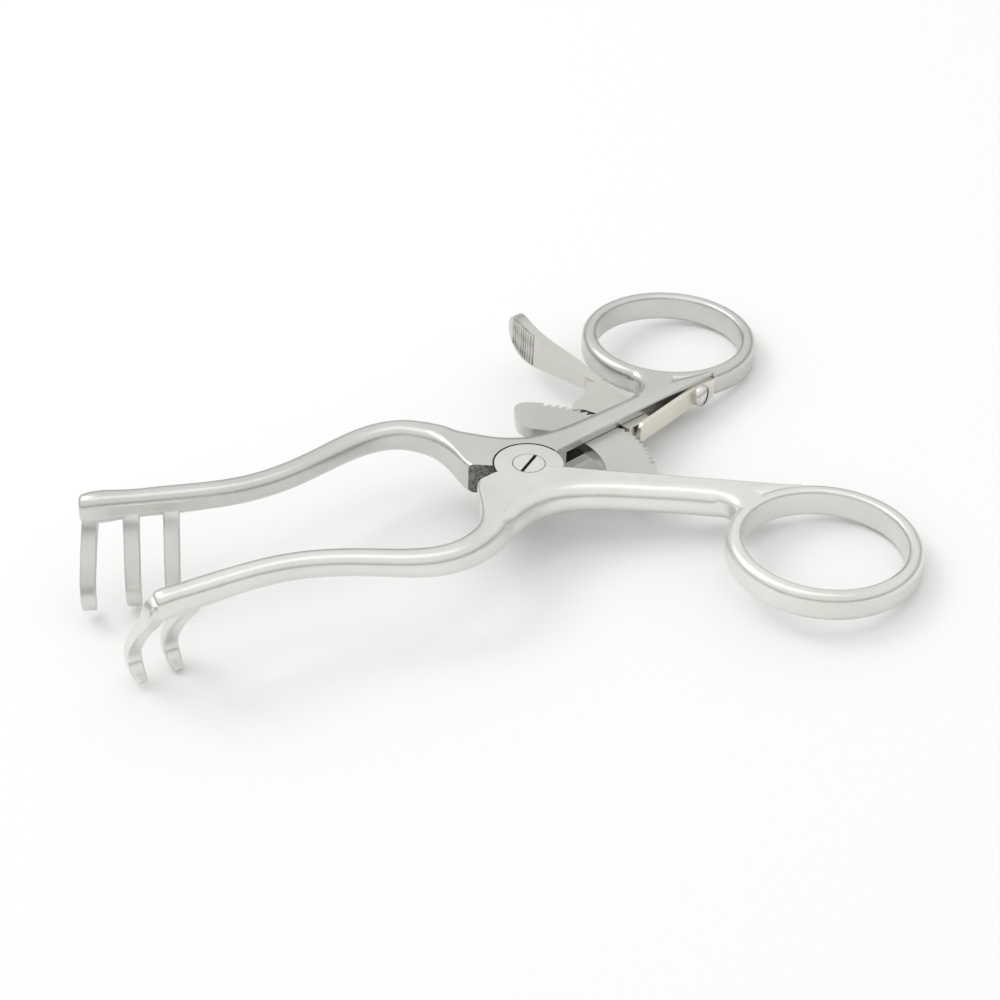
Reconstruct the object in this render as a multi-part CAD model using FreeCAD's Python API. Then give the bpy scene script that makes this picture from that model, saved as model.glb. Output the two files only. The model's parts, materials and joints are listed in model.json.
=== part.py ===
import FreeCAD, Part
import math
import os

# Self retaining retractor, two prongs against three, all lengths in millimetres.
# Each arm is drawn in its own frame: +u runs from the pivot along the straight inner
# edge of the shank to the finger ring, +v points outward, +z is the instrument's top.
# The three prong arm is turned counter-clockwise into place and the two prong arm is
# its mirror image turned the other way.

V = FreeCAD.Vector
Z_AXIS = V(0, 0, 1)

# fits and clearances
FIT = 0.03
SLIDE = 0.10
GAP = 0.30

# stock and pose
TOP = 2.3
THICK = 5.5
REST_HALF_ANGLE = 24.23
TOOTH_PITCH = 3.6
TEETH_TO_CLOSED = 4
TEETH_ENGAGED = 12
STOP_GAP = 18.6
STOP_FLARE = 6.0

# finger ring
RING_U = 48.2
RING_V = 14.53
RING_HOLE = 26.2
RING_WIRE = 2.5
RING_HEIGHT = 5.0
RING_IN_ROUND = 0.7
RING_OUT_ROUND = 1.4
FILLET_2 = 3.0
FILLET_3 = 4.5

# lap joint and pivot screw
DISC_R = 5.7
DISC_UNDER = 0.02
SCREW_HEAD_R = 2.7
SCREW_HEAD_DEEP = 1.25
SCREW_SHANK_R = 1.9
SCREW_THREAD_R = 1.6
SCREW_SLOT_W = 0.6
SCREW_SLOT_DEEP = 0.7
SCREW_SLOT_TURN = 46.0

# shank and shoulder, from ring to neck: inner and outer edge points, depth, inner rounding
OUTER_ROUND = 2.4
INNER_ROUND = 0.45
SHANK_STATIONS = [
    (RING_U - 3.6, -0.35, RING_U - 3.6, 1.2, 4.6, INNER_ROUND),
    (RING_U - 7.0, 0.0, RING_U - 7.0, 2.6, 5.0, INNER_ROUND),
    (RING_U - 10.6, 0.0, RING_U - 10.6, 4.1, 5.2, INNER_ROUND),
    (RING_U - 14.1, 0.0, RING_U - 14.1, 4.8, 5.4, INNER_ROUND),
    (27.0, 0.0, 27.0, 4.85, THICK, INNER_ROUND),
    (21.5, 0.0, 21.5, 5.05, THICK, INNER_ROUND),
    (15.5, 0.0, 15.5, 5.35, THICK, INNER_ROUND),
    (10.4, 0.0, 10.9, 5.9, THICK, INNER_ROUND),
    (5.8, -0.1, 7.4, 6.8, THICK, INNER_ROUND),
    (1.6, 0.0, 4.9, 8.1, THICK, 0.6),
    (-2.4, 0.4, 3.1, 9.7, THICK, 0.7),
    (-6.1, 2.3, 1.9, 11.2, THICK, 0.7),
    (-7.7, 5.7, 1.0, 12.6, THICK, 0.75),
    (-7.2, 9.6, 0.1, 14.1, THICK, 1.0),
    (-6.5, 13.4, -1.0, 16.0, 5.4, 1.3),
]

# distal arm: centre u, v, heading in degrees, width, depth, and its middle's height
ARM_ROUND = 1.95
ARM_DROOP = 0.062
DROOP_FROM_U = -8.0
ARM_STATIONS = [
    (-4.15, 17.2, 103.0, 4.9, 5.3, -0.35),
    (-5.4, 20.0, 116.0, 4.45, 5.15, -0.3),
    (-7.4, 22.7, 134.0, 4.25, 5.0, -0.25),
    (-10.9, 25.0, 158.0, 4.15, 4.8, -0.2),
    (-15.6, 26.1, 176.0, 4.1, 4.6, -0.1),
    (-22.0, 26.4, 182.0, 3.95, 4.4, 0.0),
    (-29.5, 27.0, 172.0, 3.85, 4.4, 0.0),
    (-36.5, 29.0, 156.0, 3.8, 4.4, 0.0),
    (-43.0, 32.6, 147.0, 3.75, 4.6, 0.0),
    (-48.5, 36.3, 145.5, 3.7, 4.8, 0.0),
]
BAR_HEADING = 145.5
BAR_WIDTH = 3.6
BAR_HEIGHT = 4.9
BAR_END_3 = 73.2
BAR_END_2 = 66.7

# prongs: distance inward, drop below the bar's centre and lean distally, then strip sizes
PRONG_PITCH_2 = 6.2
PRONG_PITCH_3 = 6.5
PRONG_EDGE_2 = -0.1
PRONG_EDGE_3 = 1.8
PRONG_PATH = [
    (0.2, 0.8, -0.4, 1.9, 2.4),
    (0.2, -0.9, 0.0, 2.7, 3.1),
    (1.2, -3.4, 0.45, 2.75, 2.4),
    (3.0, -6.0, 0.9, 2.7, 1.9),
    (4.9, -8.7, 1.3, 2.7, 1.75),
    (6.3, -11.2, 1.6, 2.65, 1.7),
    (6.9, -13.4, 1.65, 2.6, 1.65),
    (5.9, -15.5, 1.6, 2.4, 1.45),
    (3.6, -16.8, 1.35, 1.3, 0.9),
]
# share of that lean each prong takes, from the end of the bar backwards
LEANS_2 = (1.0, 1.0)
LEANS_3 = (0.75, 0.25, 0.3)

# ratchet rack, an arc about the pivot, fixed in the two prong arm
RACK_IN_R = 12.9
RACK_OUT_R = 21.3
TOOTH_DEEP = 1.0
TOOTH_RELIEF = 0.35
RACK_BOTTOM = -1.3
RACK_TOP = 0.7
RACK_END_ANGLE = 78.5
TOOTH_AT_PAWL = 49.2
RACK_TAIL_V = 3.7
RACK_PIN_R = 0.75
RACK_PIN_EDGE = 2.3
RACK_PIN_V = 2.0

# release lever, its pin and its leaf spring, in the three prong arm's frame
LEVER_PIN_U = RACK_OUT_R + 1.65
LEVER_PIN_V = 1.75
LEVER_PIN_R = 0.8
PAWL_BITE = 0.7
SLOT_RUN_OUT = [(8.6, -3.0), (8.6, 0.3), (10.9, 3.2), (10.9, 16.5)]
SLOT_TO_U = LEVER_PIN_U + 8.05
BLADE_THICK = 1.9
# distance from the pin along the shank, then v
BLADE_PATH = [(5.9, 12.4), (5.6, 15.5), (5.5, 19.0), (5.45, 24.0), (5.65, 28.0), (6.35, 31.5), (7.45, 34.6), (8.65, 38.0)]
BLADE_PROFILE_TOP = [
    (12.6, RACK_TOP), (15.0, 1.35), (18.0, 2.0), (21.5, 2.45), (25.0, 2.8), (28.0, 3.1), (31.5, 3.4), (35.0, 3.15),
]
BLADE_PROFILE_END = [(37.1, 2.1), (37.8, 0.4), (37.4, -1.5), (35.6, -3.0)]
BLADE_PROFILE_LOW = [(32.5, -3.5), (28.5, -3.2), (24.0, -2.6), (20.0, -2.2), (16.0, -1.8), (12.6, RACK_BOTTOM)]
SERRATION_FROM_V = 28.4
SERRATION_PITCH = 0.66
SERRATION_COUNT = 12
SERRATION_DEEP = 0.22
LEAF_THICK = 0.8
LEAF_HALF_HEIGHT = 1.85
LEAF_END_U = RING_U - 4.2
LEAF_LIFT_U = RING_U - 12.2
LEAF_TIP_U = LEVER_PIN_U + 0.95
LEAF_TIP_V = -1.75
LEAF_SCREW_U = LEAF_END_U - 3.7
LEAF_SCREW_HEAD_R = 1.95
LEAF_SCREW_HEAD_H = 1.6
LEAF_SCREW_R = 1.0
LEAF_SCREW_LONG = 3.2

BOTTOM = TOP - THICK
MID = (TOP + BOTTOM) / 2
SLOT_BOTTOM = RACK_BOTTOM - SLIDE
SLOT_TOP = RACK_TOP + SLIDE
RING_R = (RING_HOLE + RING_WIRE) / 2
RING_MID = TOP - RING_HEIGHT / 2


def box(u0, u1, v0, v1, z0, z1):
    return Part.makeBox(u1 - u0, v1 - v0, z1 - z0, V(u0, v0, z0))


def post(r, z0, z1, u=0.0, v=0.0):
    return Part.makeCylinder(r, z1 - z0, V(u, v, z0), Z_AXIS)


def prism(points, z0, z1):
    corners = [V(p[0], p[1], z0) for p in points]
    corners.append(corners[0])
    face = Part.Face(Part.makePolygon(corners))
    return face.extrude(V(0, 0, z1 - z0))


def smooth(points, z=0.0):
    curve = Part.BSplineCurve()
    curve.interpolate([V(p[0], p[1], z) for p in points])
    return curve.toShape()


def polar(r, degrees):
    a = math.radians(degrees)
    return (r * math.cos(a), r * math.sin(a))


def fuse_all(first, others):
    return first.multiFuse(others).removeSplitter()


def rounded_section(width, height, inner, outer):
    # a rectangle with its own rounding at the inner (-x) and the outer (+x) corners
    w = width / 2
    h = height / 2
    i = inner * (1 - math.sqrt(0.5))
    o = outer * (1 - math.sqrt(0.5))
    pieces = [
        Part.makeLine(V(-w + inner, -h, 0), V(w - outer, -h, 0)),
        Part.Arc(V(w - outer, -h, 0), V(w - o, -h + o, 0), V(w, -h + outer, 0)).toShape(),
        Part.makeLine(V(w, -h + outer, 0), V(w, h - outer, 0)),
        Part.Arc(V(w, h - outer, 0), V(w - o, h - o, 0), V(w - outer, h, 0)).toShape(),
        Part.makeLine(V(w - outer, h, 0), V(-w + inner, h, 0)),
        Part.Arc(V(-w + inner, h, 0), V(-w + i, h - i, 0), V(-w, h - inner, 0)).toShape(),
        Part.makeLine(V(-w, h - inner, 0), V(-w, -h + inner, 0)),
        Part.Arc(V(-w, -h + inner, 0), V(-w + i, -h + i, 0), V(-w + inner, -h, 0)).toShape(),
    ]
    return Part.Wire(pieces)


def placed_section(wire, origin, across, upward):
    # the section's own x goes to across and its own y to upward
    normal = across.cross(upward)
    m = FreeCAD.Matrix(
        across.x, upward.x, normal.x, origin.x,
        across.y, upward.y, normal.y, origin.y,
        across.z, upward.z, normal.z, origin.z,
        0, 0, 0, 1,
    )
    out = wire.copy()
    out.Placement = FreeCAD.Placement(m)
    return out


def finger_ring():
    section = placed_section(
        rounded_section(RING_WIRE, RING_HEIGHT, RING_IN_ROUND, RING_OUT_ROUND),
        V(RING_U + RING_R, RING_V, RING_MID), V(1, 0, 0), Z_AXIS,
    )
    return Part.Face(section).revolve(V(RING_U, RING_V, 0), Z_AXIS, 360)


def droop(u):
    return ARM_DROOP * min(0.0, u - DROOP_FROM_U)


def bar_point(distance):
    # point on the straight bar's centre line, counted back from the last station
    u, v = ARM_STATIONS[-1][0], ARM_STATIONS[-1][1]
    a = math.radians(BAR_HEADING)
    return (u + distance * math.cos(a), v + distance * math.sin(a))


def bar_length(end_radius):
    # how far past the last station the bar's end is, for the end's distance from the pivot
    low = 0.0
    high = 40.0
    for _ in range(40):
        mid = (low + high) / 2
        u, v = bar_point(mid)
        if math.hypot(u, v) < end_radius:
            low = mid
        else:
            high = mid
    return low


def arm_bar(end_radius):
    # one skin through every station from the finger ring to the end of the prong bar
    wires = []
    for iu, iv, ou, ov, depth, inner in SHANK_STATIONS:
        across = V(ou - iu, ov - iv, 0)
        width = across.Length
        across.normalize()
        outer = min(OUTER_ROUND, depth * 0.46, width - inner - 0.3)
        shape = rounded_section(width, depth, inner, outer)
        middle = V((iu + ou) / 2, (iv + ov) / 2, TOP - depth / 2)
        wires.append(placed_section(shape, middle, across, Z_AXIS))
    stations = list(ARM_STATIONS)
    reach = bar_length(end_radius)
    for back, shrink in ((reach * 0.6, 1.0), (0.9, 1.0), (0.3, 0.9), (0.0, 0.7)):
        u, v = bar_point(reach - back)
        stations.append((u, v, BAR_HEADING, BAR_WIDTH * shrink, BAR_HEIGHT * shrink, 0.0))
    for i, (u, v, heading, width, depth, rise) in enumerate(stations):
        h = math.radians(heading)
        across = V(math.sin(h), -math.cos(h), 0)
        outer = min(ARM_ROUND, width * 0.46)
        inner = min(outer, 1.5 + 0.1 * i)
        shape = rounded_section(width, depth, inner, outer)
        wires.append(placed_section(shape, V(u, v, rise + droop(u)), across, Z_AXIS))
    return Part.makeLoft(wires, True, False)


def prong(centre, z, share):
    # a flat strip that leans inward, then hooks outward to a blunt tip
    a = math.radians(BAR_HEADING)
    along = V(math.cos(a), math.sin(a), 0)
    inward = V(-math.sin(a), math.cos(a), 0)
    wires = []
    for i, (m, drop, lean, wide, thick) in enumerate(PRONG_PATH):
        before = PRONG_PATH[max(0, i - 1)]
        after = PRONG_PATH[min(len(PRONG_PATH) - 1, i + 1)]
        tangent = inward * (after[0] - before[0]) + Z_AXIS * (after[1] - before[1])
        tangent.normalize()
        side = along.cross(tangent)
        origin = V(centre[0], centre[1], z) + inward * m + along * lean * share + Z_AXIS * drop
        corner = min(0.35, thick / 3)
        section = rounded_section(wide, thick, corner, corner)
        wires.append(placed_section(section, origin, along, side))
    return Part.makeLoft(wires, True, False)


def prong_set(end_radius, edge, pitch, leans):
    reach = bar_length(end_radius)
    out = []
    for i, share in enumerate(leans):
        centre = bar_point(reach - edge - i * pitch)
        out.append(prong(centre, droop(centre[0]), share))
    return out


def ring_fillet(radius):
    # fills the corner between the shank's outer side and the ring, rounded over like both
    side = SHANK_STATIONS[4][3]
    cv = side + radius
    reach = RING_R + RING_WIRE / 2 + radius
    cu = RING_U - math.sqrt(reach * reach - (RING_V - cv) ** 2)
    touch = V(cu - RING_U, cv - RING_V, 0).normalize() * RING_R
    low = TOP - RING_HEIGHT
    block = prism([
        (cu, side / 2), (cu, cv), (RING_U + touch.x, RING_V + touch.y),
        (RING_U - 9.9, 4.0), (RING_U - 11.9, side / 2),
    ], low, TOP)
    r = OUTER_ROUND * 0.75
    flare = radius + r
    c = r * (1 - math.sqrt(0.5))
    profile = [
        Part.makeLine(V(0, 0, low - 1), V(flare, 0, low - 1)),
        Part.makeLine(V(flare, 0, low - 1), V(flare, 0, low)),
        Part.Arc(V(flare, 0, low), V(radius + c, 0, low + c), V(radius, 0, low + r)).toShape(),
        Part.makeLine(V(radius, 0, low + r), V(radius, 0, TOP - r)),
        Part.Arc(V(radius, 0, TOP - r), V(radius + c, 0, TOP - c), V(flare, 0, TOP)).toShape(),
        Part.makeLine(V(flare, 0, TOP), V(flare, 0, TOP + 1)),
        Part.makeLine(V(flare, 0, TOP + 1), V(0, 0, TOP + 1)),
        Part.makeLine(V(0, 0, TOP + 1), V(0, 0, low - 1)),
    ]
    tool = Part.Face(Part.Wire(profile)).revolve(V(0, 0, 0), Z_AXIS, 360)
    tool.translate(V(cu, cv, 0))
    return block.cut(tool)


def stop_wedge():
    # everything beyond the stop face, which opens away from its twin toward the outside
    face = 180.0 - REST_HALF_ANGLE - STOP_GAP / 2
    inner = polar(DISC_R + 0.5, face)
    outer = polar(DISC_R + 6.0, face - STOP_FLARE)
    return prism([(0, 0), inner, outer, (-13.0, -8.0), (0, -8.0)], BOTTOM - 1, TOP + 1)


def arm_blank(end_radius, edge, pitch, leans, fillet):
    body = fuse_all(arm_bar(end_radius), [finger_ring(), ring_fillet(fillet)])
    hole = post(RING_HOLE / 2, BOTTOM - 1, TOP + 1, RING_U, RING_V)
    body = body.cut([hole, stop_wedge()])
    return fuse_all(body, prong_set(end_radius, edge, pitch, leans))


def mirrored(shape):
    return shape.mirror(V(0, 0, 0), V(0, 1, 0))


def to_world_far(shape):
    out = shape.copy()
    out.rotate(V(0, 0, 0), Z_AXIS, REST_HALF_ANGLE)
    return out


def to_world_near(shape):
    out = mirrored(shape)
    out.rotate(V(0, 0, 0), Z_AXIS, -REST_HALF_ANGLE)
    return out


def rack():
    # drawn in the world plane, where angles are counted from the line between the arms
    root = RACK_OUT_R - TOOTH_DEEP
    start = -REST_HALF_ANGLE - 13.0
    ring = post(RACK_OUT_R, RACK_BOTTOM, RACK_TOP).cut(post(RACK_IN_R, RACK_BOTTOM, RACK_TOP))
    far = 60.0
    a, b = polar(far, start), polar(far, RACK_END_ANGLE)
    mid = polar(far, (start + RACK_END_ANGLE) / 2)
    bar = ring.common(prism([(0, 0), a, mid, b], RACK_BOTTOM, RACK_TOP))
    ends = []
    for e in bar.Edges:
        p = e.CenterOfMass
        upright = e.BoundBox.ZLength > 1
        if upright and math.degrees(math.atan2(p.y, p.x)) > RACK_END_ANGLE - 1:
            ends.append((math.hypot(p.x, p.y), e))
    ends.sort(key=lambda pair: pair[0])
    bar = bar.makeFillet(3.4, [ends[0][1]])
    outer = []
    for e in bar.Edges:
        p = e.CenterOfMass
        if e.BoundBox.ZLength > 1 and abs(math.hypot(p.x, p.y) - RACK_OUT_R) < 0.01:
            if math.degrees(math.atan2(p.y, p.x)) > RACK_END_ANGLE - 1:
                outer.append(e)
    bar = bar.makeFillet(2.2, outer)
    tail = box(-40, 40, -RACK_TAIL_V, 60, RACK_BOTTOM, RACK_TOP)
    tail.rotate(V(0, 0, 0), Z_AXIS, -REST_HALF_ANGLE)
    bar = bar.common(tail)
    cuts = []
    first = -int((TOOTH_AT_PAWL + 9.0) / TOOTH_PITCH)
    for k in range(first, TEETH_TO_CLOSED + 1):
        steep = TOOTH_AT_PAWL + k * TOOTH_PITCH
        low = steep - TOOTH_PITCH
        gap = [
            polar(RACK_OUT_R, low + TOOTH_RELIEF),
            polar(RACK_OUT_R + 1.0, low + TOOTH_RELIEF),
            polar(RACK_OUT_R + 1.0, steep + TOOTH_RELIEF * 2.25),
            polar(root, steep),
        ]
        cuts.append(prism(gap, RACK_BOTTOM - 1, RACK_TOP + 1))
    bar = bar.cut(cuts)
    return bar.cut(rack_pin_holes(0.0))


def rack_pin_spots():
    out = []
    for r in (RACK_IN_R + RACK_PIN_EDGE, RACK_OUT_R - RACK_PIN_EDGE):
        out.append((math.sqrt(r * r - RACK_PIN_V ** 2), RACK_PIN_V))
    return out


def rack_pins(extra=0.0, over=0.0):
    pins = []
    for u, v in rack_pin_spots():
        pins.append(post(RACK_PIN_R + extra, BOTTOM - over, TOP + over, u, v))
    return Part.makeCompound(pins)


def rack_pin_holes(extra):
    return to_world_near(rack_pins(extra, 1.0))


def pawl_nose():
    # fits the tooth space ahead of the steep face it holds
    steep = TOOTH_AT_PAWL - REST_HALF_ANGLE
    slip = 0.12
    tip = RACK_OUT_R - PAWL_BITE
    return [
        polar(RACK_OUT_R + GAP, steep - TOOTH_PITCH * 1.15),
        polar(RACK_OUT_R + 0.02, steep - TOOTH_PITCH * 0.72),
        polar(tip, steep - slip),
        polar(RACK_OUT_R + 0.5, steep + TOOTH_RELIEF * 1.4 - slip),
    ]


def lever_plate():
    # flat part that lies in the slot, from the tail to the root of the thumb blade
    clear = RACK_OUT_R + GAP
    steep = TOOTH_AT_PAWL - REST_HALF_ANGLE
    rim = [polar(clear, a) for a in (-3.2, 3.0, 9.0, 15.0)]
    outline = rim + pawl_nose()
    pin = LEVER_PIN_U
    outline += [
        polar(RACK_OUT_R + 1.3, steep + 2.2),
        (pin + 1.05, 11.3), (pin + 3.0, 12.9), (pin + 4.3, 14.4), (pin + 4.75, 15.4),
        (pin + 6.4, 15.4), (pin + 6.6, 14.0), (pin + 6.25, 11.0), (pin + 5.75, 7.0), (pin + 5.05, 3.0),
        (pin + 4.45, 0.2), (pin + 4.15, LEAF_TIP_V + 0.5), (pin + 3.65, LEAF_TIP_V),
        (pin + 0.25, LEAF_TIP_V), (pin - 0.95, LEAF_TIP_V + 0.15),
    ]
    return prism(outline, RACK_BOTTOM, RACK_TOP)


def offset_path(points, distance):
    out = []
    for i, p in enumerate(points):
        before = points[max(0, i - 1)]
        after = points[min(len(points) - 1, i + 1)]
        du = after[0] - before[0]
        dv = after[1] - before[1]
        size = math.hypot(du, dv)
        out.append((p[0] + distance * dv / size, p[1] - distance * du / size))
    return out


def blade_path():
    return [(LEVER_PIN_U + du, v) for du, v in BLADE_PATH]


def lever_blade():
    # an upright curved plate, cut to its side view
    front = offset_path(blade_path(), -BLADE_THICK / 2)
    back = offset_path(blade_path(), BLADE_THICK / 2)
    edges = [
        smooth(front),
        Part.makeLine(V(front[-1][0], front[-1][1], 0), V(back[-1][0], back[-1][1], 0)),
        smooth(back),
        Part.makeLine(V(back[0][0], back[0][1], 0), V(front[0][0], front[0][1], 0)),
    ]
    strip = Part.Face(Part.Wire(Part.__sortEdges__(edges))).extrude(V(0, 0, 8))
    strip.translate(V(0, 0, -4))
    outline = BLADE_PROFILE_TOP + BLADE_PROFILE_END + BLADE_PROFILE_LOW
    curve = Part.BSplineCurve()
    curve.interpolate([V(0, p[0], p[1]) for p in outline])
    start, end = outline[0], outline[-1]
    close = Part.makeLine(V(0, end[0], end[1]), V(0, start[0], start[1]))
    side = Part.Face(Part.Wire([curve.toShape(), close])).extrude(V(60, 0, 0))
    return strip.common(side)


def serrations():
    front = offset_path(blade_path(), -BLADE_THICK / 2)
    cuts = []
    for i in range(SERRATION_COUNT):
        v = SERRATION_FROM_V + i * SERRATION_PITCH
        for a, b in zip(front, front[1:]):
            if a[1] <= v <= b[1]:
                u = a[0] + (b[0] - a[0]) * (v - a[1]) / (b[1] - a[1])
        w = SERRATION_PITCH * 0.42
        d = SERRATION_DEEP
        cuts.append(prism([(u - 0.6, v - w * 3.0), (u + d, v), (u - 0.6, v + w * 3.0)], -5, 5))
    return cuts


def release_lever():
    lever = fuse_all(lever_plate(), [lever_blade()])
    lever = lever.cut(serrations())
    bore = post(LEVER_PIN_R + FIT, RACK_BOTTOM - 1, RACK_TOP + 1, LEVER_PIN_U, LEVER_PIN_V)
    return lever.cut(bore)


def lever_pin(extra=0.0, over=0.0):
    return post(LEVER_PIN_R + extra, BOTTOM - over, TOP + over, LEVER_PIN_U, LEVER_PIN_V)


def leaf_spring():
    # flat where the screw holds it, then standing off the arm to press the lever's tail
    t = LEAF_THICK
    rest = [(LEVER_PIN_U + 6.55, -1.0), (LEVER_PIN_U + 3.65, LEAF_TIP_V), (LEVER_PIN_U + 1.65, LEAF_TIP_V - 0.1)]
    upper = [(LEAF_LIFT_U, 0.0), (LEAF_LIFT_U - 3.0, -0.25)] + rest
    lower = offset_path(upper, -t)
    tip_out = (LEAF_TIP_U - 0.9, LEAF_TIP_V - 0.75)
    tip_in = (tip_out[0] + 0.45, tip_out[1] - 0.55)
    edges = [
        Part.makeLine(V(LEAF_END_U, 0, 0), V(LEAF_LIFT_U, 0, 0)),
        smooth(upper),
        Part.makeLine(V(upper[-1][0], upper[-1][1], 0), V(tip_out[0], tip_out[1], 0)),
        Part.makeLine(V(tip_out[0], tip_out[1], 0), V(tip_in[0], tip_in[1], 0)),
        Part.makeLine(V(tip_in[0], tip_in[1], 0), V(lower[-1][0], lower[-1][1], 0)),
        smooth(lower),
        Part.makeLine(V(lower[0][0], lower[0][1], 0), V(LEAF_END_U, -t, 0)),
        Part.makeLine(V(LEAF_END_U, -t, 0), V(LEAF_END_U, 0, 0)),
    ]
    strip = Part.Face(Part.Wire(Part.__sortEdges__(edges))).extrude(V(0, 0, 2 * LEAF_HALF_HEIGHT))
    strip.translate(V(0, 0, MID - LEAF_HALF_HEIGHT))
    return strip.cut(leaf_screw_shank(SLIDE))


def leaf_screw_shank(extra=0.0):
    return Part.makeCylinder(
        LEAF_SCREW_R + extra, LEAF_SCREW_LONG + LEAF_THICK,
        V(LEAF_SCREW_U, -LEAF_THICK, MID), V(0, 1, 0),
    )


def leaf_screw():
    face = -LEAF_THICK
    head = Part.makeCylinder(LEAF_SCREW_HEAD_R, LEAF_SCREW_HEAD_H, V(LEAF_SCREW_U, face, MID), V(0, -1, 0))
    rim = [e for e in head.Edges if e.BoundBox.YMin < face - LEAF_SCREW_HEAD_H + 1e-6]
    rim = [e for e in rim if e.BoundBox.YLength < 1e-3]
    head = head.makeFillet(0.45, rim)
    slot = box(-0.3, 0.3, face - LEAF_SCREW_HEAD_H - 1, face - LEAF_SCREW_HEAD_H + 0.6, -5, 5)
    slot.rotate(V(0, 0, 0), V(0, 1, 0), 24)
    slot.translate(V(LEAF_SCREW_U, 0, MID))
    return fuse_all(head, [leaf_screw_shank()]).cut(slot)


def pivot_screw():
    # headed into the two prong arm's upper half, threaded into the other arm's lower half
    head = Part.makeCylinder(SCREW_HEAD_R, SCREW_HEAD_DEEP, V(0, 0, TOP - SCREW_HEAD_DEEP), Z_AXIS)
    shank = post(SCREW_SHANK_R, MID, TOP)
    thread = post(SCREW_THREAD_R, BOTTOM, MID + 0.1)
    slot = box(-SCREW_HEAD_R, SCREW_HEAD_R, -SCREW_SLOT_W / 2, SCREW_SLOT_W / 2, TOP - SCREW_SLOT_DEEP, TOP + 1)
    slot.rotate(V(0, 0, 0), Z_AXIS, SCREW_SLOT_TURN)
    return fuse_all(head, [shank, thread]).cut(slot)


def near_arm():
    arm = arm_blank(BAR_END_2, PRONG_EDGE_2, PRONG_PITCH_2, LEANS_2, FILLET_2)
    arm = fuse_all(arm, [post(DISC_R, MID, TOP - DISC_UNDER)])
    socket = box(RACK_IN_R - GAP * 2, RACK_OUT_R + GAP, -8, RACK_TAIL_V + SLIDE, RACK_BOTTOM - FIT, RACK_TOP + FIT)
    cuts = [
        post(DISC_R + GAP, BOTTOM - 1, MID),
        post(SCREW_SHANK_R + FIT, BOTTOM, TOP + 1),
        post(SCREW_HEAD_R + FIT * 2, TOP - SCREW_HEAD_DEEP, TOP + 1),
        socket,
        rack_pins(0.0, 1.0),
    ]
    return to_world_near(arm.cut(cuts))


def far_arm():
    arm = arm_blank(BAR_END_3, PRONG_EDGE_3, PRONG_PITCH_3, LEANS_3, FILLET_3)
    arm = fuse_all(arm, [post(DISC_R, BOTTOM + DISC_UNDER, MID)])
    slot = prism(SLOT_RUN_OUT + [(SLOT_TO_U, 16.5), (SLOT_TO_U, -3.0)], SLOT_BOTTOM, SLOT_TOP)
    ramp = SLOT_TO_U - 5.0
    notch = Part.Face(Part.makePolygon([
        V(ramp, 5.2, TOP + 0.1), V(ramp, 8.6, SLOT_TOP), V(ramp, 16.0, SLOT_TOP),
        V(ramp, 16.0, TOP + 1), V(ramp, 5.2, TOP + 1), V(ramp, 5.2, TOP + 0.1),
    ])).extrude(V(5.0, 0, 0))
    seat = box(LEAF_LIFT_U - 2, LEAF_END_U + SLIDE, -4, 0, BOTTOM - 1, TOP + 1)
    cuts = [
        post(DISC_R + GAP, MID, TOP + 1),
        post(SCREW_THREAD_R, BOTTOM - 1, 1),
        slot,
        notch,
        seat,
        lever_pin(0.0, 1.0),
        leaf_screw_shank(),
    ]
    return to_world_far(arm.cut(cuts))


def lowest(shapes, tilt, proximal):
    low = 1e9
    for s in shapes:
        turned = s.copy()
        turned.rotate(V(0, 0, 0), V(0, 1, 0), tilt)
        half = box(0, 90, -90, 90, -60, 60) if proximal else box(-90, 0, -90, 90, -60, 60)
        low = min(low, turned.common(half).optimalBoundingBox(False, False).ZMin)
    return low


def rest_tilt(arms):
    # the turn about the cross axis at which prong tips and rings stand on one plane
    low = 0.0
    high = 15.0
    for _ in range(9):
        mid = (low + high) / 2
        if lowest(arms, mid, False) < lowest(arms, mid, True):
            low = mid
        else:
            high = mid
    return (low + high) / 2


parts = {
    "arm_two_prong": near_arm(),
    "arm_three_prong": far_arm(),
    "pivot_screw": pivot_screw(),
    "ratchet_rack": rack(),
    "rack_pin": to_world_near(rack_pins()),
    "release_lever": to_world_far(release_lever()),
    "lever_pin": to_world_far(lever_pin()),
    "leaf_spring": to_world_far(leaf_spring()),
    "leaf_screw": to_world_far(leaf_screw()),
}
tilt = rest_tilt([parts["arm_two_prong"], parts["arm_three_prong"]])
for shape in parts.values():
    shape.rotate(V(0, 0, 0), V(0, 1, 0), tilt)
bounds = Part.makeCompound(list(parts.values())).optimalBoundingBox(False, False)
shift = V(-bounds.Center.x, -bounds.Center.y, -bounds.ZMin)
os.makedirs("parts", exist_ok=True)
for name, shape in parts.items():
    shape.translate(shift)
    shape.exportStep("parts/" + name + ".step")
    print(name, "valid", shape.isValid(), "solids", len(shape.Solids), "mm3", round(shape.Volume, 2))
print("tilt", round(tilt, 3), "pivot at", [round(c, 3) for c in shift])
print("size", round(bounds.XLength, 2), round(bounds.YLength, 2), round(bounds.ZLength, 2))
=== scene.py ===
import json
import math

import bmesh
import bpy
from mathutils import Matrix, Vector


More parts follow.
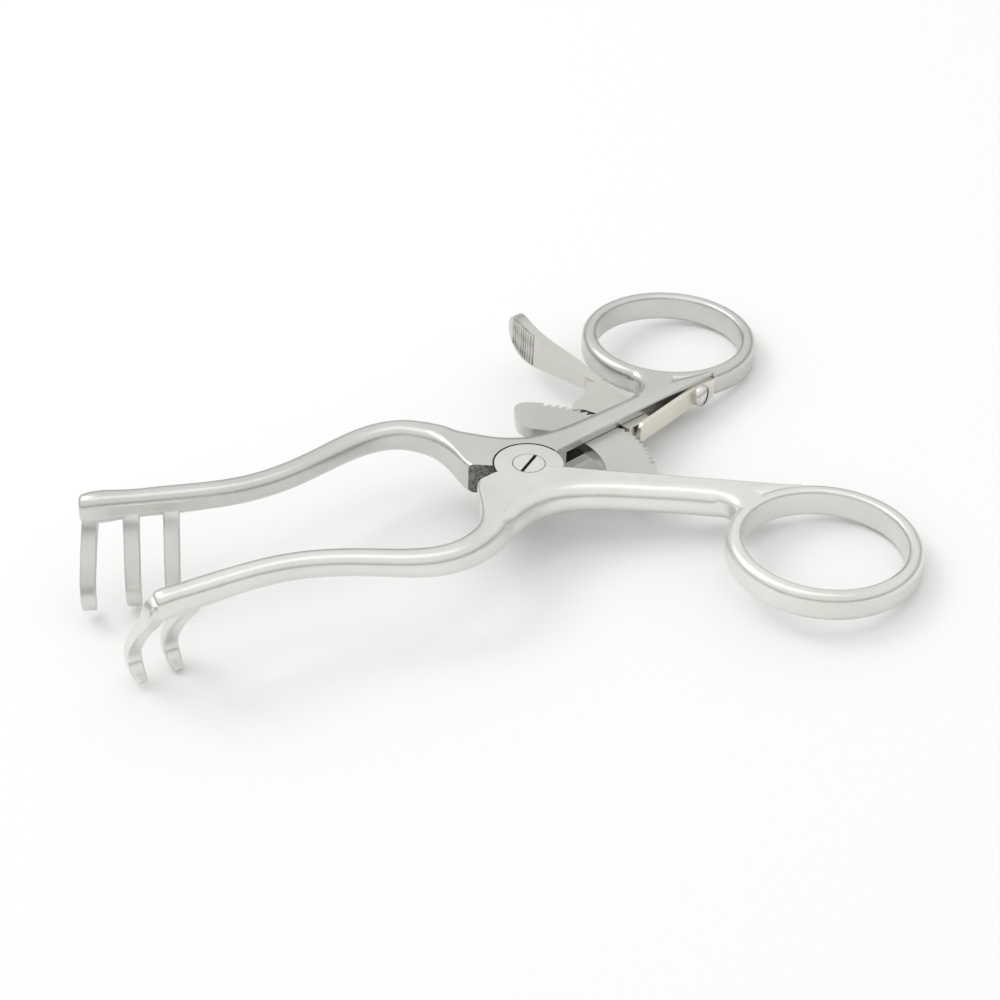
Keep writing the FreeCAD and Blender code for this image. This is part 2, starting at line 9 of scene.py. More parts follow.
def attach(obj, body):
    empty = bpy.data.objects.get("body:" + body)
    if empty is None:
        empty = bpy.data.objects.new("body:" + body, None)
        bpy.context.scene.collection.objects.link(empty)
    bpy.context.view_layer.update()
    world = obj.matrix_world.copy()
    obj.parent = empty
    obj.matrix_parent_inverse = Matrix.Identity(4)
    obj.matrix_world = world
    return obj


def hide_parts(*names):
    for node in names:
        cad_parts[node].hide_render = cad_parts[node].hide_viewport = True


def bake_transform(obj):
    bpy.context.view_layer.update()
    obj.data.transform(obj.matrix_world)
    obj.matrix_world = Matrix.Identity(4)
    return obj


bl_info = {
    "name": "Self Retaining Retractor",
    "version": (1, 0, 0),
    "blender": (4, 5, 0),
    "location": "View3D > Sidebar > Retractor",
    "description": "Dresses the packed retractor with satin steel finishes, fine pieces and a studio",
    "category": "Object",
}

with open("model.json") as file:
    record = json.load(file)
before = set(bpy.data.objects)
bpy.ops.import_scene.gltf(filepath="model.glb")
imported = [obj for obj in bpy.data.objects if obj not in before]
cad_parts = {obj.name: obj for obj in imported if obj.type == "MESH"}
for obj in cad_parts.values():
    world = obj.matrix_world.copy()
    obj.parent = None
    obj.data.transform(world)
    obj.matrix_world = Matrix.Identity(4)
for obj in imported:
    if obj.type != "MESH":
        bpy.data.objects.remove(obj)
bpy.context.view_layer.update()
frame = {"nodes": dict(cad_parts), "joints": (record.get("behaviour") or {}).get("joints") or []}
NODES = frame["nodes"]
JOINTS = {j["name"]: j for j in frame["joints"]}

# the instrument's own frame: pivot at the origin, X towards the finger rings, Z out of the top
PIVOT = Vector(JOINTS["arm_hinge"]["pos_m"])
NORMAL = -Vector(JOINTS["arm_hinge"]["axis"]).normalized()
CROSS = Vector((0.0, 1.0, 0.0))
FORWARD = CROSS.cross(NORMAL).normalized()
REST_HALF_ANGLE = math.radians(24.23)
MM = 0.001


def on_instrument(x, y, z):
    """A place in the row frame, from millimetres in the instrument's frame."""
    return PIVOT + (FORWARD * x + CROSS * y + NORMAL * z) * MM


def far_point(u, v, z=0.0):
    """A place on the three-prong arm, from its own frame along the shank's inner edge."""
    c, s = math.cos(REST_HALF_ANGLE), math.sin(REST_HALF_ANGLE)
    return on_instrument(u * c - v * s, u * s + v * c, z)


def far_way(u, v):
    """A direction on the three-prong arm, as a unit vector in the row frame."""
    return (far_point(u, v) - far_point(0.0, 0.0)).normalized()


# the stop face on the three-prong arm: where it starts at the disc, its run outward and its normal
STOP_START = far_point(-5.168, 3.425)
STOP_RUN = far_way(-3.856, 4.023)
STOP_OUT = far_way(-4.023, -3.856)

# where the finishes and the painted shade change, in metres: the stop face's half thickness, its ends, and the pivot
# screw's face and rim
STOP_NEAR, STOP_FAR = 0.00005, 0.00009
STOP_BEGINS = (-0.0003, -0.0001)
STOP_ENDS = (0.0062, 0.0064)
SCREW_FACE_DEPTH = (0.00208, 0.00224)
SCREW_RIM_RADIUS = (0.00258, 0.00266)

# painted shade colours and reliefs the finishes share
# painted shade on the three-prong arm's stop face, and the paler flecks in it
STOP_PAINTED_SHADE = (0.10, 0.10, 0.095)
STOP_PAINTED_SHADE_FLECK = (0.34, 0.335, 0.32)
# painted shade in the pivot screw's slot and round its head
SLOT_PAINTED_SHADE = (0.06, 0.06, 0.057)
GRAIN_BUMP, GRAIN_DEPTH = 0.12, 0.06
LINE_BUMP, LINE_DEPTH = 0.2, 0.08
TURNED_ANGLE = 1.1

# the camera's view of the instrument: azimuth, elevation and roll in degrees, its sideways and upward shift in
# millimetres, and its focal length as a share of the picture's width
CAMERA_VIEW = (-19.3658, 34.6366, 1.7611)
CAMERA_SHIFT = (-4.6789, -4.1511)
CAMERA_FOCAL_SHARE = 2269.8 / 1000.0
SENSOR_WIDTH = 36.0

# lamps: place and size in metres
KEY_LAMP = ((-0.34, 0.42, 0.72), (0.42, 0.42))
STRIP_LAMP = ((0.0, -0.05, 0.65), (0.6, 0.28))
FLOOR_HALF = 6.0

# settings


class RetractorFinish(bpy.types.PropertyGroup):
    """Colours and texture sizes of the steel."""

    arm_colour: bpy.props.FloatVectorProperty(
        name="Arm Steel", description="Base colour of the three-prong arm",
        subtype="COLOR", size=3, min=0.0, max=1.0, default=(0.675, 0.672, 0.65))
    # painted light: the two-prong arm is the same steel as the three-prong arm, painted paler for the brighter light
    # that falls on it
    near_arm_painted_lighter_colour: bpy.props.FloatVectorProperty(
        name="Near Arm Steel", description="Base colour of the two-prong arm, paler than the other",
        subtype="COLOR", size=3, min=0.0, max=1.0, default=(0.79, 0.787, 0.762))
    lever_colour: bpy.props.FloatVectorProperty(
        name="Lever Steel", description="Base colour of the release lever, a little warmer than the arms",
        subtype="COLOR", size=3, min=0.0, max=1.0, default=(0.66, 0.652, 0.61))
    spring_colour: bpy.props.FloatVectorProperty(
        name="Spring Steel", description="Base colour of the leaf spring strip",
        subtype="COLOR", size=3, min=0.0, max=1.0, default=(0.80, 0.765, 0.67))
    screw_colour: bpy.props.FloatVectorProperty(
        name="Screw Steel", description="Base colour of the turned screw heads",
        subtype="COLOR", size=3, min=0.0, max=1.0, default=(0.80, 0.797, 0.78))
    satin_roughness: bpy.props.FloatProperty(
        name="Satin Roughness", description="Roughness of the blasted satin surface",
        min=0.05, max=0.9, default=0.29)
    grain_size: bpy.props.FloatProperty(
        name="Grain Size", description="Size of the blasted grain",
        subtype="DISTANCE", unit="LENGTH", min=0.00005, max=0.002, default=0.00022)


class RetractorStudio(bpy.types.PropertyGroup):
    """Light, floor and camera."""

    key_power: bpy.props.FloatProperty(
        name="Key Lamp Power", description="Power of the soft lamp behind and to the left", unit="POWER",
        min=0.0, max=50.0, default=1.3)
    strip_power: bpy.props.FloatProperty(
        name="Strip Lamp Power", description="Power of the long lamp overhead that draws the bright edges",
        unit="POWER", min=0.0, max=50.0, default=0.25)
    sky_strength: bpy.props.FloatProperty(
        name="Sky Strength", description="Strength of the white surround straight overhead",
        min=0.0, max=2.0, default=0.95)
    horizon_share: bpy.props.FloatProperty(
        name="Horizon Share", description="How bright the surround is at floor level, of what it is overhead",
        min=0.0, max=1.0, default=0.3)
    floor_white: bpy.props.FloatProperty(
        name="Floor White", description="Base colour of the white floor", min=0.0, max=1.0, default=0.93)
    camera_distance: bpy.props.FloatProperty(
        name="Camera Distance", description="Distance from the camera to the pivot's plane",
        subtype="DISTANCE", unit="LENGTH", min=0.1, max=2.0, default=0.3733)


# shader sums written as Python sums


class Value:
    """A shader socket that takes part in Python sums, each adding its Math node."""

    def __init__(self, shader, socket):
        self.shader = shader
        self.socket = socket

    def _with(self, operation, *others, first=None):
        values = [self.socket if first is None else first]
        values += [o.socket if isinstance(o, Value) else o for o in others]
        return Value(self.shader, self.shader.node("ShaderNodeMath", values, operation=operation))

    def __add__(self, other):
        return self._with("ADD", other)

    def __radd__(self, other):
        return self._with("ADD", self, first=other)

    def __sub__(self, other):
        return self._with("SUBTRACT", other)

    def __rsub__(self, other):
        return self._with("SUBTRACT", self, first=other)

    def __mul__(self, other):
        return self._with("MULTIPLY", other)

    def __rmul__(self, other):
        return self._with("MULTIPLY", self, first=other)

    def smooth(self, low, high):
        """0 below low, 1 above high, smooth between."""
        out = self.shader.node("ShaderNodeMapRange", {"Value": self.socket, "From Min": low, "From Max": high},
                               interpolation_type="SMOOTHSTEP", clamp=True)
        return Value(self.shader, out)


class Finish:
    """One material, built node by node."""

    def __init__(self, name):
        self.material = bpy.data.materials.new(name)
        self.material.use_nodes = True
        self.tree = self.material.node_tree
        self.tree.nodes.clear()
        self.output = self.tree.nodes.new("ShaderNodeOutputMaterial")

    def node(self, kind, values=(), out=0, **settings):
        """Adds a node: settings first, then the values or links of its sockets; returns an output."""
        made = self.tree.nodes.new(kind)
        for key, value in settings.items():
            setattr(made, key, value)
        pairs = values.items() if isinstance(values, dict) else enumerate(values)
        for key, value in pairs:
            value = value.socket if isinstance(value, Value) else value
            if isinstance(value, bpy.types.NodeSocket):
                self.tree.links.new(value, made.inputs[key])
            else:
                made.inputs[key].default_value = value
        return made.outputs[out]

    def value(self, kind, values=(), out=0, **settings):
        return Value(self, self.node(kind, values, out, **settings))

    def places(self):
        return self.node("ShaderNodeTexCoord", out="Object")

    def ahead(self, where, point, direction):
        """Distance in front of the plane through point that faces along direction, in metres."""
        away = self.node("ShaderNodeVectorMath", {0: where, 1: tuple(point)}, operation="SUBTRACT")
        return self.value("ShaderNodeVectorMath", {0: away, 1: tuple(direction)}, out="Value",
                          operation="DOT_PRODUCT")

    def off_axis(self, where, point, direction):
        """Distance from the line through point along direction, in metres."""
        away = self.node("ShaderNodeVectorMath", {0: where, 1: tuple(point)}, operation="SUBTRACT")
        round_it = self.node("ShaderNodeVectorMath", {0: away, 1: tuple(direction)}, operation="CROSS_PRODUCT")
        return self.value("ShaderNodeVectorMath", {0: round_it}, out="Value", operation="LENGTH")

    def noise(self, where, scale, detail=2.0, roughness=0.5):
        return self.value("ShaderNodeTexNoise", {"Vector": where, "Scale": scale, "Detail": detail,
                                                 "Roughness": roughness}, out="Fac")

    def stretched(self, where, turn, scale):
        """Object coordinates turned about Z and squeezed, for grain that runs one way."""
        return self.node("ShaderNodeMapping", {"Vector": where, "Rotation": (0.0, 0.0, turn), "Scale": scale})

    def blend(self, share, first, second):
        """Mixes two colours by a share from 0 to 1."""
        made = self.tree.nodes.new("ShaderNodeMix")
        made.data_type = "RGBA"
        for socket, value in zip((made.inputs[0], made.inputs[6], made.inputs[7]), (share, first, second)):
            value = value.socket if isinstance(value, Value) else value
            if isinstance(value, bpy.types.NodeSocket):
                self.tree.links.new(value, socket)
            else:
                socket.default_value = value
        return made.outputs[2]

    def close(self, colour, roughness, metallic=1.0, height=None, bump=0.1, bump_distance=0.00002):
        values = {"Base Color": colour, "Roughness": roughness, "Metallic": metallic}
        if height is not None:
            values["Normal"] = self.node("ShaderNodeBump", {"Height": height, "Strength": bump,
                                                            "Distance": bump_distance})
        surface = self.node("ShaderNodeBsdfPrincipled", values)
        self.tree.links.new(surface, self.output.inputs["Surface"])
        return self.material


def rgba(colour, gain=1.0):
    return (colour[0] * gain, colour[1] * gain, colour[2] * gain, 1.0)


def satin(made, where, colour, roughness, grain):
    """Colour, roughness and grain height of glass-beaded stainless with broad faint clouds left by handling."""
    fine = made.noise(where, 1.0 / grain, 2.0, 0.6)
    clouds = made.noise(where, 38.0, 3.0, 0.55)
    streaks = made.noise(made.stretched(where, 0.0, (60.0, 420.0, 420.0)), 1.0, 2.0, 0.5)
    tint = made.blend(clouds.smooth(0.35, 0.68), rgba(colour, 0.9), rgba(colour, 1.04))
    warm = (colour[0] * 0.97, colour[1] * 0.95, colour[2] * 0.86, 1.0)
    tint = made.blend(streaks.smooth(0.52, 0.8) * 0.55, tint, warm)
    return tint, fine * 0.06 + clouds * 0.12 + (roughness - 0.09), fine


def blasted_steel(name, colour, roughness, grain):
    """Plain satin steel."""
    made = Finish(name)
    tint, rough, fine = satin(made, made.places(), colour, roughness, grain)
    return made.close(tint, rough, height=fine, bump=GRAIN_BUMP, bump_distance=grain * GRAIN_DEPTH)


def steel_with_painted_stop_shade(name, node, colour, roughness, grain):
    """Satin steel with painted shade on its stop face, flecked by coarse noise and rougher."""
    made = Finish(name)
    where = made.places()
    tint, rough, fine = satin(made, where, colour, roughness, grain)
    start, out = in_node(node, STOP_START, STOP_OUT)
    along = in_node(node, STOP_START, STOP_RUN)[1]
    plane = made.ahead(where, start, out)
    level = plane.smooth(-STOP_FAR, -STOP_NEAR) - plane.smooth(STOP_NEAR, STOP_FAR)
    run = made.ahead(where, start, along)
    reach = run.smooth(*STOP_BEGINS) - run.smooth(*STOP_ENDS)
    coarse = made.noise(where, 2600.0, 2.0, 0.7)
    share = level * reach
    # painted shade on the stop face, flecked by coarse noise
    dark = made.blend(coarse.smooth(0.35, 0.65), rgba(STOP_PAINTED_SHADE), rgba(STOP_PAINTED_SHADE_FLECK))
    tint = made.blend(share, tint, dark)
    return made.close(tint, rough + share * 0.3, height=fine, bump=GRAIN_BUMP, bump_distance=grain * GRAIN_DEPTH)


def ground_lines(made, where, turn, grain):
    """Long fine scratches that run one way, turned about Z."""
    return made.noise(made.stretched(where, turn, (1.0 / grain, 0.05 / grain, 1.0 / grain)), 1.0, 3.0, 0.65)


def screw_steel(name, node, colour, roughness, grain):
    """Turned steel with painted shade in the slot and a fine painted shadow line round the head."""
    made = Finish(name)
    where = made.places()
    lines = ground_lines(made, where, TURNED_ANGLE, grain)
    centre, up = in_node(node, PIVOT, NORMAL)
    depth = made.ahead(where, centre, up)
    edge = made.off_axis(where, centre, up)
    # painted shade: below the head's face, in the slot, and beyond its rim
    shade = 1.0 - depth.smooth(*SCREW_FACE_DEPTH) * (1.0 - edge.smooth(*SCREW_RIM_RADIUS))
    tint = made.blend(lines.smooth(0.3, 0.75), rgba(colour, 0.94), rgba(colour, 1.03))
    tint = made.blend(shade * 0.85, tint, rgba(SLOT_PAINTED_SHADE))
    return made.close(tint, lines * 0.12 + shade * 0.25 + (roughness - 0.06), height=lines, bump=LINE_BUMP,
                      bump_distance=grain * LINE_DEPTH)


def brushed_steel(name, colour, roughness, turn, grain):
    """Steel ground one way: long fine scratches across the strip."""
    made = Finish(name)
    where = made.places()
    lines = ground_lines(made, where, turn, grain)
    clouds = made.noise(where, 60.0, 2.0, 0.5)
    tint = made.blend(lines.smooth(0.3, 0.75), rgba(colour, 0.93), rgba(colour, 1.04))
    return made.close(tint, lines * 0.14 + clouds * 0.05 + (roughness - 0.08), height=lines, bump=LINE_BUMP,
                      bump_distance=grain * LINE_DEPTH)


# helpers


def in_node(node, point, direction):
    """A point and a direction of the row frame, in a CAD node's own coordinates."""
    back = NODES[node].matrix_world.inverted()
    return back @ point, (back.to_3x3() @ direction).normalized()


def dress(node, material):
    """Gives a CAD node its finish; its mesh stays as it is."""
    data = NODES[node].data
    data.materials.clear()
    data.materials.append(material)


def link(obj):
    bpy.context.scene.collection.objects.link(obj)
    return obj


def run(operator):
    if "FINISHED" not in operator():
        raise RuntimeError("an operator did not finish")


def solid(name, build, material):
    """A mesh piece with its origin at the row's origin; build fills the bmesh."""
    mesh = bpy.data.meshes.new(name)
    shape = bmesh.new()
    build(shape)
    bmesh.ops.recalc_face_normals(shape, faces=shape.faces)
    shape.to_mesh(mesh)
    shape.free()
    mesh.materials.append(material)
    return link(bpy.data.objects.new(name, mesh))


def settled(piece, *modifiers):
    """Turns a piece's modifiers into its mesh and takes them off."""
    graph = bpy.context.evaluated_depsgraph_get()
    made = bpy.data.meshes.new_from_object(piece.evaluated_get(graph))
    for modifier in modifiers:
        piece.modifiers.remove(modifier)
    piece.data = made
    return piece


def smooth_run(points, steps=8):
    """Points on a smooth line through the given (u, v) points."""
    run = []
    last = len(points) - 1
    for i in range(last):
        a, b, c, d = (points[min(last, max(0, i + k))] for k in (-1, 0, 1, 2))
        for n in range(steps):
            t = n / steps
            run.append(tuple(
                0.5 * (2 * q + (r - p) * t + (2 * p - 5 * q + 4 * r - w) * t * t + (3 * q - p - 3 * r + w) * t ** 3)
                for p, q, r, w in zip(a, b, c, d)))
    run.append(points[last])
    return run


def beside(points, distance):
    """The line at that distance to the right of a line of (u, v) points."""
    out = []
    for i, point in enumerate(points):
        before, after = points[max(0, i - 1)], points[min(len(points) - 1, i + 1)]
        along = Vector((after[0] - before[0], after[1] - before[1])).normalized()
        out.append((point[0] + along.y * distance, point[1] - along.x * distance))
    return out


# the leaf spring's middle line, from its screwed end to its tip, in the three-prong arm's frame
LEAF_THICK = 0.8
LEAF_HALF_HEIGHT = 1.85
LEAF_LINE = [(44.0, -0.4), (41.0, -0.4), (38.6, -0.44), (36.5, -0.68), (33.0, -1.2), (29.5, -1.71), (26.6, -2.12),
             (24.5, -2.44), (23.2, -2.64)]
LEAF_CORNER = 1.25
MIDDLE = -0.45
LEAF_SCREW_U = 40.3
LEAF_SCREW_HEAD = [(1.93, 0.0), (1.95, 0.1), (1.95, 0.5), (1.88, 0.78), (1.68, 1.06), (1.35, 1.3), (0.92, 1.48),
                   (0.45, 1.575)]
LEAF_SCREW_TOP = 1.6
SCREW_SLOT = (0.5, 0.75)

# the thumb face of the release lever, root to tip, where its cross ridges lie
THUMB_FACE = [(27.75, 28.55), (27.95, 29.9), (28.36, 31.65), (28.9, 33.3), (29.5, 34.92), (29.82, 35.75)]
RIDGE_COUNT = 10
RIDGE_RADIUS = 0.19
RIDGE_LENGTH = 6.1
RIDGE_TAPER = 0.2


# one operator for each group of pieces


class DressArms(bpy.types.Operator):
    """Gives both forged arms their satin finish, the near one painted lighter than the far one as painted light, and
    the far one painted shade on its stop face
    """

    bl_idname = "retractor.dress_arms"
    bl_label = "Arms"

    def execute(self, context):
        s = context.scene.retractor_finish
        dress("arm_two_prong", blasted_steel("satin_near_arm_steel_painted_lighter", s.near_arm_painted_lighter_colour, s.satin_roughness,
                                             s.grain_size))
        dress("arm_three_prong", steel_with_painted_stop_shade("satin_arm_steel_painted_stop_shade", "arm_three_prong", s.arm_colour,
                                            s.satin_roughness, s.grain_size))
        return {"FINISHED"}


class DressRatchet(bpy.types.Operator):
    """Gives the toothed rack, its pins and the lever's pin their finish"""

    bl_idname = "retractor.dress_ratchet"
    bl_label = "Ratchet"

    def execute(self, context):
        s = context.scene.retractor_finish
        rack = blasted_steel("satin_rack_steel", [c * 0.92 for c in s.arm_colour], s.satin_roughness, s.grain_size)
        dress("ratchet_rack", rack)
        # the rack pin takes the two-prong arm's painted lighter steel
        for node, colour in (("rack_pin", s.near_arm_painted_lighter_colour), ("lever_pin", s.arm_colour)):
            dress(node, brushed_steel("ground_" + node + "_steel", colour, 0.3, 0.4, s.grain_size))
        return {"FINISHED"}


class DressLever(bpy.types.Operator):
    """Gives the release lever its finish and lays the grip ridges across its thumb face"""

    bl_idname = "retractor.dress_lever"
    bl_label = "Release Lever"

    def execute(self, context):
        s = context.scene.retractor_finish
        steel = blasted_steel("satin_lever_steel", s.lever_colour, s.satin_roughness, s.grain_size)
        dress("release_lever", steel)
        line = bpy.data.meshes.new("thumb_ridges")
        points = [far_point(u, v, 0.0) for u, v in THUMB_FACE]
        line.from_pydata(points, [(i, i + 1) for i in range(len(points) - 1)], [])
        ridges = link(bpy.data.objects.new("thumb_ridges", line))
        added = ridges.modifiers.new("ridges", "NODES")
        added.node_group, sockets = ridge_tree(steel)
        values = {"Count": RIDGE_COUNT, "Radius": RIDGE_RADIUS * MM, "Length": RIDGE_LENGTH * MM,
                  "Taper": RIDGE_TAPER, "Turn": NORMAL.to_track_quat("Z", "Y").to_euler()[:]}
        for name, value in values.items():
            added[sockets[name]] = value
        settled(ridges, added)
        ridges.data.shade_smooth()
        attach(ridges, "lever")
        return {"FINISHED"}


def ridge_tree(material):
    """Rods stood at even steps along a line, shorter toward its end; returns the tree and its socket names."""
    tree = bpy.data.node_groups.new("ridges_along_line", "GeometryNodeTree")
    kinds = (("Geometry", "NodeSocketGeometry"), ("Count", "NodeSocketInt"), ("Radius", "NodeSocketFloat"),
             ("Length", "NodeSocketFloat"), ("Taper", "NodeSocketFloat"), ("Turn", "NodeSocketVector"))
    sockets = {name: tree.interface.new_socket(name, in_out="INPUT", socket_type=kind).identifier
               for name, kind in kinds}
    tree.interface.new_socket("Geometry", in_out="OUTPUT", socket_type="NodeSocketGeometry")
    start = tree.nodes.new("NodeGroupInput").outputs

    def add(kind, links, out=0, **settings):
        made = tree.nodes.new(kind)
        for key, value in settings.items():
            setattr(made, key, value)
        for key, value in links.items():
            if isinstance(value, bpy.types.NodeSocket):
                tree.links.new(value, made.inputs[key])
            else:
                made.inputs[key].default_value = value
        return made.outputs[out]

    curve = add("GeometryNodeMeshToCurve", {"Mesh": start["Geometry"]})
    evenly = add("GeometryNodeResampleCurve", {"Curve": curve, "Count": start["Count"]})
    rod = add("GeometryNodeMeshCylinder", {"Vertices": 12, "Radius": start["Radius"], "Depth": start["Length"]})
    place = add("GeometryNodeInputIndex", {})
    steps = add("ShaderNodeMath", {0: start["Count"], 1: 1.0}, operation="SUBTRACT")
    share = add("ShaderNodeMath", {0: place, 1: steps}, operation="DIVIDE")
    fall = add("ShaderNodeMath", {0: share, 1: 2.0}, operation="POWER")
    loss = add("ShaderNodeMath", {0: fall, 1: start["Taper"]}, operation="MULTIPLY")
    left = add("ShaderNodeMath", {0: 1.0, 1: loss}, operation="SUBTRACT")
    scale = add("ShaderNodeCombineXYZ", {"X": 1.0, "Y": 1.0, "Z": left})
    stood = add("GeometryNodeInstanceOnPoints", {"Points": evenly, "Instance": rod, "Rotation": start["Turn"],
                                                 "Scale": scale})
    real = add("GeometryNodeRealizeInstances", {"Geometry": stood})
    dressed = add("GeometryNodeSetMaterial", {"Geometry": real, "Material": material})
    tree.links.new(dressed, tree.nodes.new("NodeGroupOutput").inputs[0])
    return tree, sockets


class BuildLeafSpring(bpy.types.Operator):
    """Builds the leaf spring as a strip, in place of its solid"""

    bl_idname = "retractor.build_leaf_spring"
    bl_label = "Leaf Spring"

    def execute(self, context):
        s = context.scene.retractor_finish
        steel = brushed_steel("leaf_spring_steel", s.spring_colour, 0.3, REST_HALF_ANGLE, s.grain_size)
        middle = smooth_run(LEAF_LINE)
        rim = beside(middle, LEAF_THICK / 2) + beside(middle, -LEAF_THICK / 2)[::-1]
        half = []
        for point in middle:
            inside = max(0.0, LEAF_CORNER - math.dist(point, middle[-1]))
            half.append(LEAF_HALF_HEIGHT - LEAF_CORNER + math.sqrt(LEAF_CORNER ** 2 - inside ** 2))
        half += half[::-1]

        def strip(shape):
            rings = []
            for side in (-1.0, 1.0):
                rings.append([shape.verts.new(far_point(u, v, MIDDLE + side * h)) for (u, v), h in zip(rim, half)])
            for i in range(len(rim)):
                n = (i + 1) % len(rim)
                shape.faces.new((rings[0][i], rings[0][n], rings[1][n], rings[1][i]))
            for ring in rings:
                for i in range(len(middle) - 1):
                    shape.faces.new((ring[i], ring[i + 1], ring[-2 - i], ring[-1 - i]))

        spring = solid("leaf_spring_strip", strip, steel)
        edge = spring.modifiers.new("soft_edges", "BEVEL")
        edge.width = 0.1 * MM
        edge.segments = 2
        edge.limit_method = "ANGLE"
        edge.angle_limit = math.radians(50)
        settled(spring, edge)
        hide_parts("leaf_spring")
        tuple(far_point(36.0, -0.75, MIDDLE))
        tuple(far_point(26.6, -2.12, MIDDLE))
        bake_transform(spring)
        return {"FINISHED"}


class BuildLeafScrew(bpy.types.Operator):
    """Builds the leaf spring's screw with its domed, slotted head, in place of its solid"""

    bl_idname = "retractor.build_leaf_screw"
    bl_label = "Leaf Screw"

    def execute(self, context):
        s = context.scene.retractor_finish
        steel = brushed_steel("turned_leaf_screw_steel", [c * 0.88 for c in s.screw_colour], 0.27, TURNED_ANGLE,
                              s.grain_size)

        def dome(shape):
            rings = []
            sides = 40
            for r, h in [(1.0, -3.0)] + [(1.0, 0.0)] + LEAF_SCREW_HEAD:
                ring = []
                for k in range(sides):
                    a = 2 * math.pi * k / sides
                    ring.append(shape.verts.new(far_point(LEAF_SCREW_U + r * math.cos(a), -LEAF_THICK - h,
                                                          MIDDLE + r * math.sin(a))))
                rings.append(ring)
            for low, high in zip(rings, rings[1:]):
                for k in range(sides):
                    n = (k + 1) % sides
                    shape.faces.new((low[k], low[n], high[n], high[k]))
            tip = shape.verts.new(far_point(LEAF_SCREW_U, -LEAF_THICK - LEAF_SCREW_TOP, MIDDLE))
            for k in range(sides):
                shape.faces.new((rings[-1][k], rings[-1][(k + 1) % sides], tip))
            shape.faces.new(rings[0])

        def groove(shape):
            wide, deep = SCREW_SLOT
            bmesh.ops.create_cube(shape, size=1.0)
            turn = math.radians(24)
            for corner in shape.verts:
                along, across, down = corner.co.x * 5, corner.co.y * wide, corner.co.z * 2 * deep
                u = LEAF_SCREW_U + along * math.sin(turn) + across * math.cos(turn)
                z = MIDDLE + along * math.cos(turn) - across * math.sin(turn)
                corner.co = far_point(u, -LEAF_THICK - LEAF_SCREW_TOP + down, z)

        screw = solid("leaf_screw_domed", dome, steel)
        cutter = solid("leaf_screw_groove", groove, steel)
        cut = screw.modifiers.new("groove", "BOOLEAN")
        cut.object = cutter
        cut.solver = "EXACT"
        settled(screw, cut)
        bpy.data.objects.remove(cutter)
        screw.data.shade_smooth()
        screw.data.set_sharp_from_angle(angle=math.radians(38))
        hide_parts("leaf_screw")
        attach(screw, "far_arm")
        return {"FINISHED"}


class DressScrews(bpy.types.Operator):
    """Gives the pivot screw its turned finish, with painted shade in its slot and round its head"""

    bl_idname = "retractor.dress_screws"
    bl_label = "Pivot Screw"

    def execute(self, context):
        s = context.scene.retractor_finish
        dress("pivot_screw", screw_steel("turned_screw_steel_painted_slot_shade", "pivot_screw", s.screw_colour, 0.28, s.grain_size))
        return {"FINISHED"}


def camera_axes(azimuth, elevation, roll):
    """Right, up and backward directions of a camera in the instrument's frame."""
    a, e, r = (math.radians(x) for x in (azimuth, elevation, roll))
    back = Vector((math.sin(a) * math.cos(e), -math.cos(a) * math.cos(e), math.sin(e)))
    right = Vector((math.cos(a), math.sin(a), 0.0))
    up = back.cross(right)
    return right * math.cos(r) + up * math.sin(r), up * math.cos(r) - right * math.sin(r), back


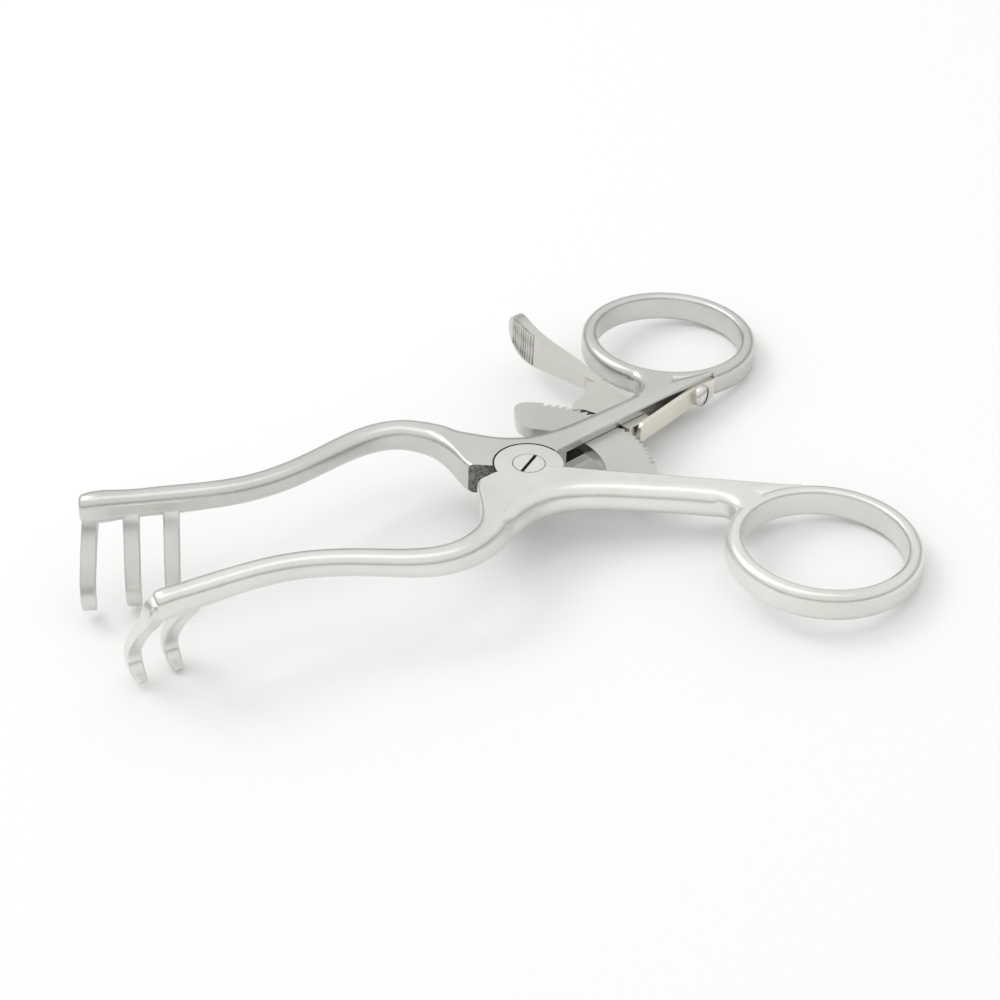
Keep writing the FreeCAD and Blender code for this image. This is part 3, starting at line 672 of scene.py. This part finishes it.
class BuildStage(bpy.types.Operator):
    """Adds the white floor, the soft studio light and the camera at the photograph's angle"""

    bl_idname = "retractor.build_stage"
    bl_label = "Stage"

    def execute(self, context):
        s = context.scene.retractor_studio
        scene = context.scene
        self.camera(scene, s.camera_distance)
        self.floor(s.floor_white)
        self.surround(scene, s.sky_strength, s.horizon_share)
        self.lamp("key_soft_lamp", *KEY_LAMP, s.key_power)
        self.lamp("overhead_strip", *STRIP_LAMP, s.strip_power)
        scene.view_settings.view_transform = "Standard"
        return {"FINISHED"}

    def camera(self, scene, distance):
        right, up, back = camera_axes(*CAMERA_VIEW)
        place = back * distance + right * (CAMERA_SHIFT[0] * MM) + up * (CAMERA_SHIFT[1] * MM)
        axes = [FORWARD * a.x + CROSS * a.y + NORMAL * a.z for a in (right, up, back)]
        data = bpy.data.cameras.new("photo_camera")
        data.sensor_fit = "HORIZONTAL"
        data.sensor_width = SENSOR_WIDTH
        data.lens = SENSOR_WIDTH * CAMERA_FOCAL_SHARE
        data.clip_start = 0.01
        data.clip_end = 20.0
        camera = link(bpy.data.objects.new("photo_camera", data))
        turn = Matrix((axes[0], axes[1], axes[2])).transposed().to_4x4()
        spot = PIVOT + FORWARD * place.x + CROSS * place.y + NORMAL * place.z
        camera.matrix_world = Matrix.Translation(spot) @ turn
        scene.camera = camera

    def floor(self, white):
        mesh = bpy.data.meshes.new("studio_floor")
        size = FLOOR_HALF
        mesh.from_pydata([(-size, -size, 0), (size, -size, 0), (size, size, 0), (-size, size, 0)], [], [(0, 1, 2, 3)])
        floor = link(bpy.data.objects.new("studio_floor", mesh))
        made = Finish("studio_white")
        matt = made.node("ShaderNodeBsdfDiffuse", {"Color": (white, white, white, 1.0)})
        made.tree.links.new(matt, made.output.inputs["Surface"])
        mesh.materials.append(made.material)

    def surround(self, scene, strength, horizon):
        """A white tent: brightest overhead, falling off toward the floor, which gives the steel its dark bands."""
        world = bpy.data.worlds.new("studio_surround")
        world.use_nodes = True
        tree = world.node_tree
        tree.nodes.clear()
        out = tree.nodes.new("ShaderNodeOutputWorld")
        tent = tree.nodes.new("ShaderNodeBackground")
        place = tree.nodes.new("ShaderNodeTexCoord")
        split = tree.nodes.new("ShaderNodeSeparateXYZ")
        rise = tree.nodes.new("ShaderNodeMapRange")
        rise.interpolation_type = "SMOOTHSTEP"
        rise.inputs["From Min"].default_value = 0.0
        rise.inputs["From Max"].default_value = 0.5
        rise.inputs["To Min"].default_value = horizon * strength
        rise.inputs["To Max"].default_value = strength
        tent.inputs["Color"].default_value = (1.0, 1.0, 0.995, 1.0)
        tree.links.new(place.outputs["Generated"], split.inputs[0])
        tree.links.new(split.outputs["Z"], rise.inputs["Value"])
        tree.links.new(rise.outputs["Result"], tent.inputs["Strength"])
        tree.links.new(tent.outputs[0], out.inputs["Surface"])
        scene.world = world

    def lamp(self, name, place, size, power):
        data = bpy.data.lights.new(name, "AREA")
        data.shape = "RECTANGLE"
        data.size, data.size_y = size
        data.energy = power
        lamp = link(bpy.data.objects.new(name, data))
        lamp.location = place
        lamp.rotation_euler = (Vector((0.0, 0.0, 0.0)) - lamp.location).to_track_quat("-Z", "Y").to_euler()


class RETRACTOR_PT_panel(bpy.types.Panel):
    """Lists the retractor's pieces and settings"""

    bl_label = "Retractor"
    bl_space_type = "VIEW_3D"
    bl_region_type = "UI"
    bl_category = "Retractor"

    def draw(self, context):
        column = self.layout.column()
        for operator in PIECES:
            column.operator(operator.bl_idname)
        for group in (context.scene.retractor_finish, context.scene.retractor_studio):
            for name in group.bl_rna.properties.keys():
                if name not in ("name", "rna_type"):
                    column.prop(group, name)


PIECES = (DressArms, DressRatchet, DressLever, BuildLeafSpring, BuildLeafScrew, DressScrews, BuildStage)
CLASSES = (RetractorFinish, RetractorStudio) + PIECES + (RETRACTOR_PT_panel,)


def register():
    for cls in CLASSES:
        bpy.utils.register_class(cls)
    bpy.types.Scene.retractor_finish = bpy.props.PointerProperty(type=RetractorFinish)
    bpy.types.Scene.retractor_studio = bpy.props.PointerProperty(type=RetractorStudio)


def unregister():
    del bpy.types.Scene.retractor_studio
    del bpy.types.Scene.retractor_finish
    for cls in reversed(CLASSES):
        bpy.utils.unregister_class(cls)


def main():
    register()
    run(bpy.ops.retractor.dress_arms)
    run(bpy.ops.retractor.dress_ratchet)
    run(bpy.ops.retractor.dress_lever)
    run(bpy.ops.retractor.build_leaf_spring)
    run(bpy.ops.retractor.build_leaf_screw)
    run(bpy.ops.retractor.dress_screws)
    run(bpy.ops.retractor.build_stage)


if __name__ == "__main__":
    main()
